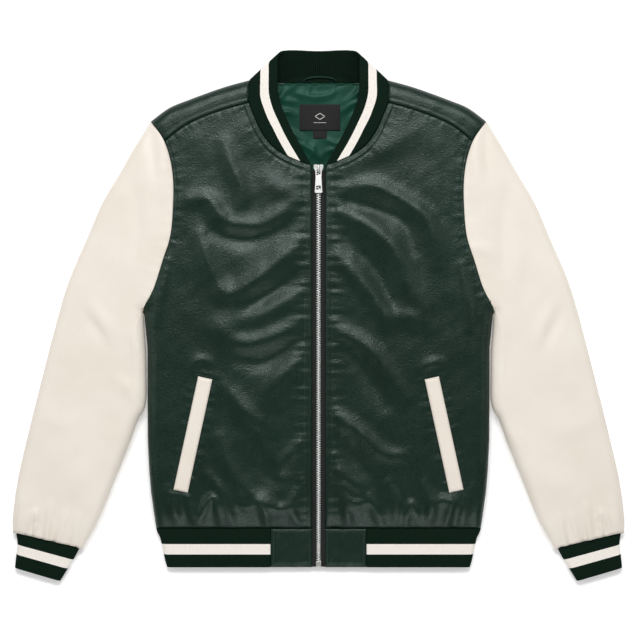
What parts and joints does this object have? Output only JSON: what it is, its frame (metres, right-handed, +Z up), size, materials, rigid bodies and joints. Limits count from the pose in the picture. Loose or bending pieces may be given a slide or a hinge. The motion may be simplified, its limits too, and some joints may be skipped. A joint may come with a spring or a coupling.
{
  "type": "varsity jacket",
  "caption": "Varsity jacket lying flat: grained leather body, smooth cream sleeves, striped rib collar, cuffs and hem, slanted welt pockets and a full-length metal zip with a hinged pull tab.",
  "frame": {"origin": "under the middle of the jacket's plan outline, on the surface it lies on", "axes": "+X across the jacket from sleeve to sleeve, +Y from hem to neck, +Z up out of the front"},
  "size_m": [0.8744, 0.7582, 0.0323],
  "materials": {
    "green_leather": "grained, semi-gloss",
    "cream_leather": "smooth, satin",
    "rib_knit": "matt rib knit with one cream stripe",
    "lining_satin": "satin",
    "label_woven": "matt woven",
    "zip_tape": "matt woven",
    "zip_metal": "polished nickel"
  },
  "bodies": {
    "jacket": {"back": "green_leather", "front_left": "green_leather", "front_right": "green_leather", "hem_tab_left": "green_leather", "hem_tab_right": "green_leather", "sleeve_upper_left": "cream_leather", "sleeve_upper_right": "cream_leather", "sleeve_under_left": "cream_leather", "sleeve_under_right": "cream_leather", "welt_left": "cream_leather", "welt_right": "cream_leather", "collar": "rib_knit", "hem_rib": "rib_knit", "cuff_left": "rib_knit", "cuff_right": "rib_knit", "neck_lining": "lining_satin", "hanger_loop": "lining_satin", "label": "label_woven", "size_tab": "label_woven", "zip_tape_left": "zip_tape", "zip_tape_right": "zip_tape", "zip_chain": "zip_metal", "zip_box": "zip_metal", "zip_slider": "zip_metal"},
    "pull_tab": {"zip_pull": "zip_metal"}
  },
  "joints": [
    {"name": "pull_tab_hinge", "type": "hinge", "parent": "jacket", "child": "pull_tab", "pos_m": [0, 0.2089, 0.02715], "axis": [-1, 0, 0], "range_deg": [0, 170]}
  ]
}
